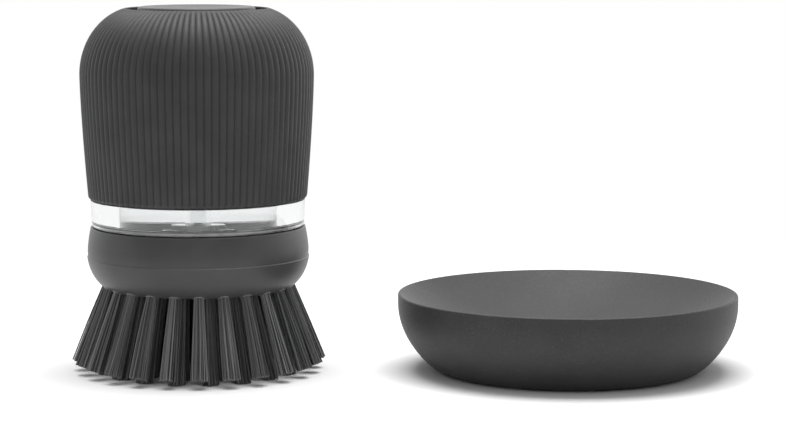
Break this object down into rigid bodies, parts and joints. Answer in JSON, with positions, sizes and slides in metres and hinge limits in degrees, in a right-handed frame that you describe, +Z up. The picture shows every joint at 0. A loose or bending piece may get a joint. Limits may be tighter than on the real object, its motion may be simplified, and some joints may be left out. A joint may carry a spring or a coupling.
{
  "type": "soap-dispensing dish brush",
  "caption": "Palm dish brush with a ribbed dome grip, push button, clear soap reservoir and flared bristle tufts that takes soap through a sprung valve, with its shallow rest dish.",
  "frame": {"origin": "on the brush's axis, at the level of the worktop that the bristle tips and the dish stand on", "axes": "+Z up along the brush's axis; +X from the brush towards the rest dish beside it"},
  "size_m": [0.2127, 0.1084, 0.116],
  "materials": {
    "head_plastic": "fine satin moulded",
    "bristles": "drawn nylon filaments",
    "clear_plastic": "clear polished moulding",
    "natural_plastic": "natural translucent moulding",
    "silicone": "translucent silicone",
    "seal_rubber": "grey pressed rubber",
    "steel": "drawn wire",
    "grip_rubber": "soft-touch ribbed overmould",
    "grip_plastic": "satin moulded",
    "button_plastic": "satin moulded",
    "dish_body": "mineral-filled, fine matte"
  },
  "bodies": {
    "brush": {"bristle_block": "head_plastic", "head_shell": "head_plastic", "outer_tufts": "bristles", "second_tufts": "bristles", "third_tufts": "bristles", "inner_tufts": "bristles", "tuft_anchors": "steel", "outlet_nut": "natural_plastic", "head_gasket": "seal_rubber", "reservoir": "clear_plastic", "window_ring": "clear_plastic", "valve_seat": "silicone", "valve_spring": "steel"},
    "seal": {"cap_seal": "silicone"},
    "grip": {"grip_sleeve": "grip_rubber", "grip_shell": "grip_plastic", "grip_core": "grip_plastic", "rod_seal": "silicone", "seal_retainer": "natural_plastic", "button_spring": "steel"},
    "button": {"push_button": "button_plastic", "push_rod": "clear_plastic", "rod_clip": "steel"},
    "valve": {"valve_stem": "natural_plastic", "poppet_seal": "silicone", "valve_spring_cap": "natural_plastic"},
    "dish": {"rest_dish": "dish_body"}
  },
  "joints": [
    {"name": "grip_rise", "type": "slide", "parent": "brush", "child": "seal", "axis": [0, 0, 1], "range_m": [0, 0.00801]},
    {"name": "grip_turn", "type": "hinge", "parent": "seal", "child": "grip", "pos_m": [0, 0, 0.09], "axis": [0, 0, 1], "range_deg": [0, 360]},
    {"name": "button_press", "type": "slide", "parent": "grip", "child": "button", "axis": [0, 0, -1], "range_m": [0, 0.0045], "stiffness_N_per_m": 600, "springref_m": -0.004, "deforming": ["button_spring"]},
    {"name": "valve_lift", "type": "slide", "parent": "brush", "child": "valve", "axis": [0, 0, -1], "range_m": [0, 0.0045], "deforming": ["valve_spring"]},
    {"name": "dish_lift", "type": "slide", "parent": "brush", "child": "dish", "axis": [0, 0, 1], "range_m": [0, 0.08]}
  ],
  "couplings": [
    {"joint": "grip_rise", "follows": "grip_turn", "m_per_rad": 0.0012732},
    {"joint": "valve_lift", "follows": "button_press", "ratio": 1}
  ]
}
